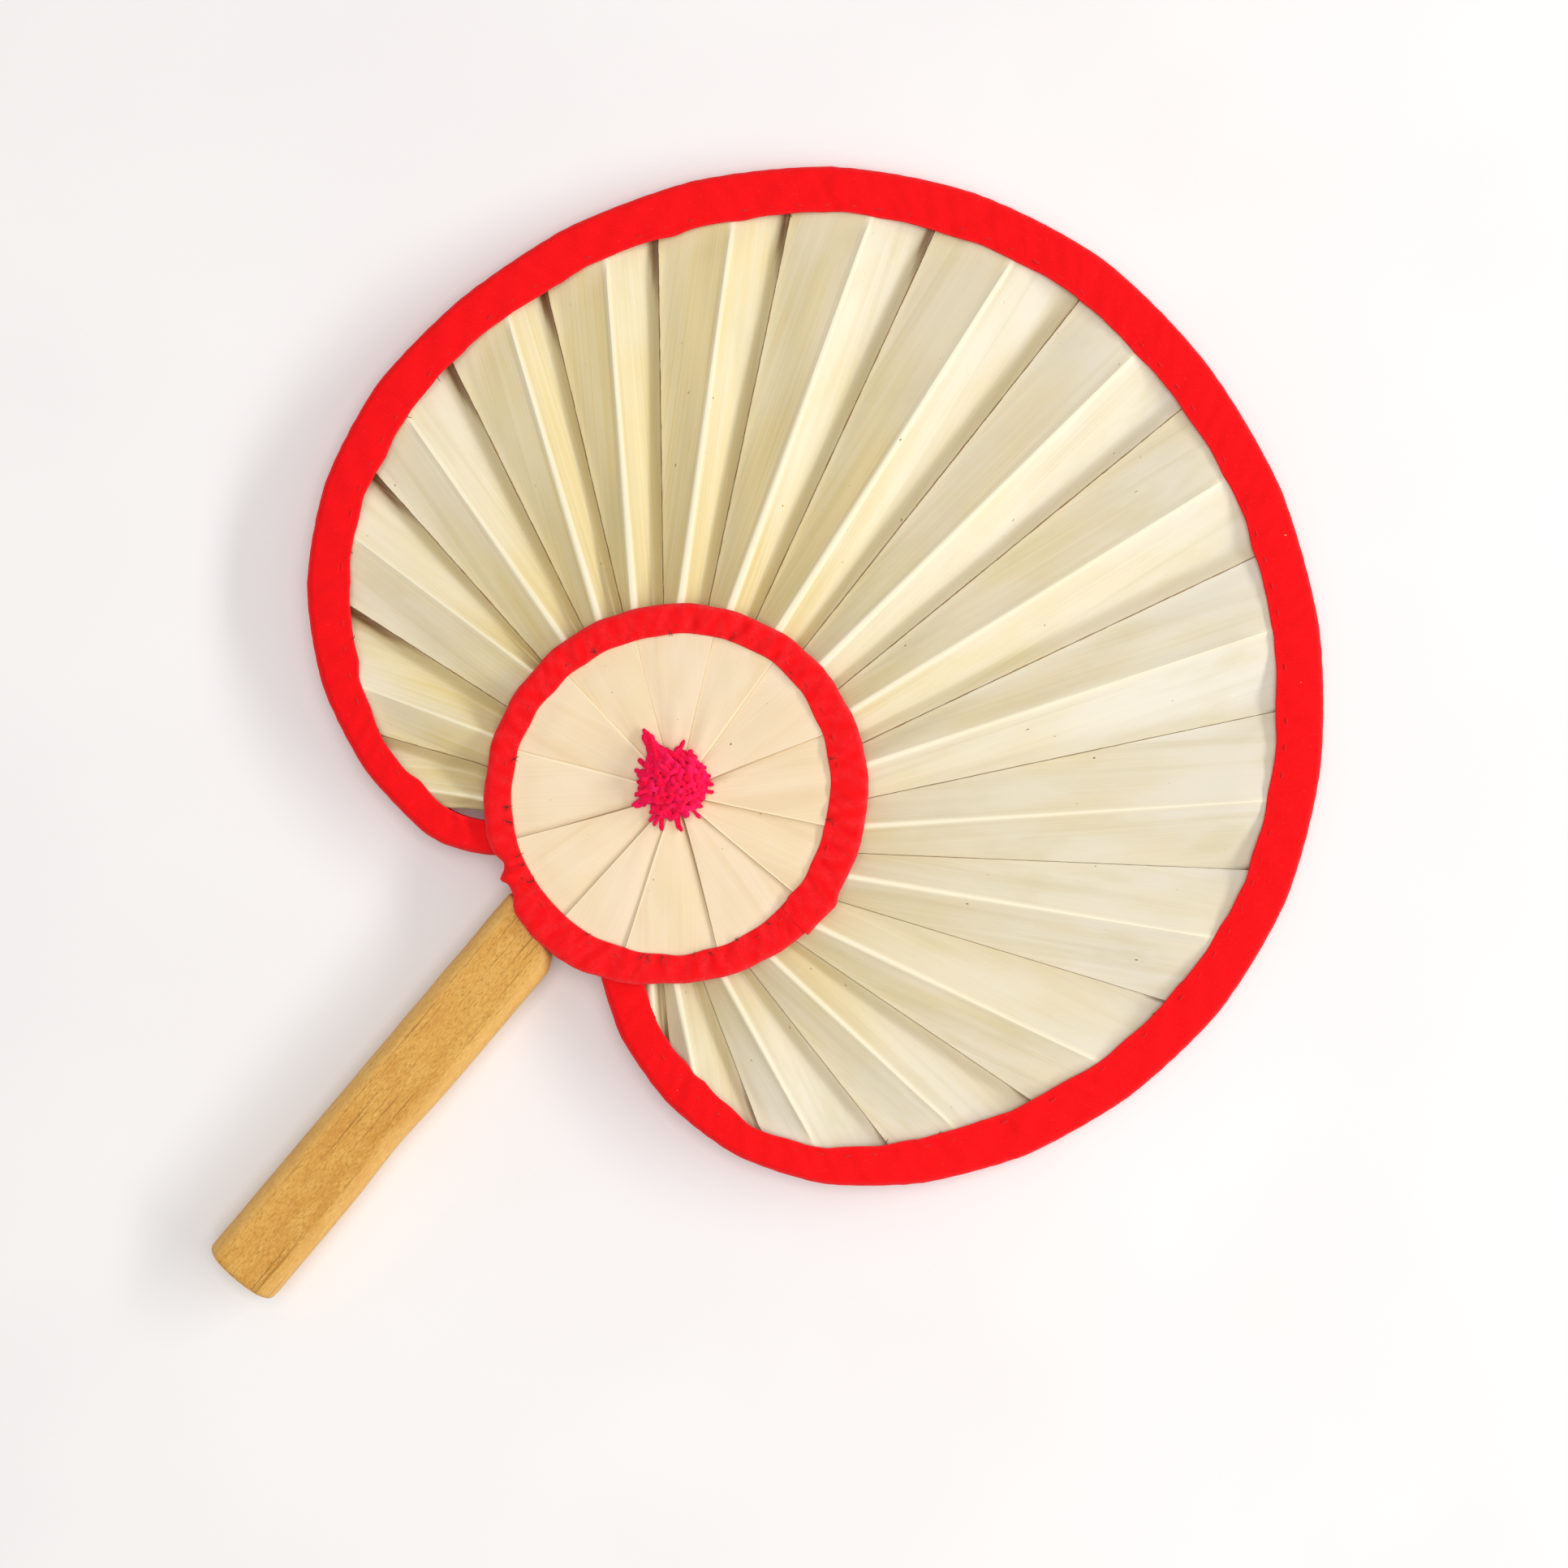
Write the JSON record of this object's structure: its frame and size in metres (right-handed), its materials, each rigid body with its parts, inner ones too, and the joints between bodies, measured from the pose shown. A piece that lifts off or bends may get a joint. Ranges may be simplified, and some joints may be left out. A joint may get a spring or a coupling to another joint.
{
  "type": "hand fan",
  "caption": "Palm-leaf hand fan: one pleated round leaf bound in folded cloth, on a flat wooden handle, with a bound leaf rosette and a yarn pompom over its hub.",
  "frame": {"origin": "middle of the grip's flat underside, half way between the butt and the shoulder, on the table that the fan lies on", "axes": "+Z to the fan's front, the side with the pompom; +Y from the handle to the leaf's tip; +X to the right seen from the front with the leaf up"},
  "size_m": [0.2996, 0.3821, 0.0257],
  "materials": {
    "wood": "satin",
    "palm_leaf": "satin",
    "rosette_leaf": "satin",
    "red_cloth": "matte",
    "red_thread": "matte",
    "pink_yarn": "matte",
    "steel": "satin"
  },
  "bodies": {
    "root": {"handle": "wood", "leaf_base": "palm_leaf", "tacks": "steel", "leaflet_01": "palm_leaf", "leaflet_02": "palm_leaf", "leaflet_03": "palm_leaf", "leaflet_04": "palm_leaf", "leaflet_05": "palm_leaf", "leaflet_06": "palm_leaf", "leaflet_07": "palm_leaf", "leaflet_08": "palm_leaf", "leaflet_09": "palm_leaf", "leaflet_10": "palm_leaf", "leaflet_11": "palm_leaf", "leaflet_12": "palm_leaf", "leaflet_13": "palm_leaf", "leaflet_14": "palm_leaf", "leaflet_15": "palm_leaf", "leaflet_16": "palm_leaf", "leaflet_17": "palm_leaf", "leaflet_18": "palm_leaf", "leaflet_19": "palm_leaf", "rim_binding": "red_cloth", "rim_stitching": "red_thread", "rosette_wedge_01": "rosette_leaf", "rosette_wedge_02": "rosette_leaf", "rosette_wedge_03": "rosette_leaf", "rosette_wedge_04": "rosette_leaf", "rosette_wedge_05": "rosette_leaf", "rosette_wedge_06": "rosette_leaf", "rosette_wedge_07": "rosette_leaf", "rosette_wedge_08": "rosette_leaf", "rosette_wedge_09": "rosette_leaf", "rosette_wedge_10": "rosette_leaf", "rosette_wedge_11": "rosette_leaf", "rosette_wedge_12": "rosette_leaf", "rosette_binding": "red_cloth", "rosette_stitching": "red_thread", "pompom": "pink_yarn", "pompom_tie": "pink_yarn", "back_wedge_01": "rosette_leaf", "back_wedge_02": "rosette_leaf", "back_wedge_03": "rosette_leaf", "back_wedge_04": "rosette_leaf", "back_wedge_05": "rosette_leaf", "back_wedge_06": "rosette_leaf", "back_wedge_07": "rosette_leaf", "back_wedge_08": "rosette_leaf", "back_wedge_09": "rosette_leaf", "back_wedge_10": "rosette_leaf", "back_wedge_11": "rosette_leaf", "back_wedge_12": "rosette_leaf", "back_binding": "red_cloth", "back_stitching": "red_thread", "back_knot": "pink_yarn"}
  },
  "joints": []
}
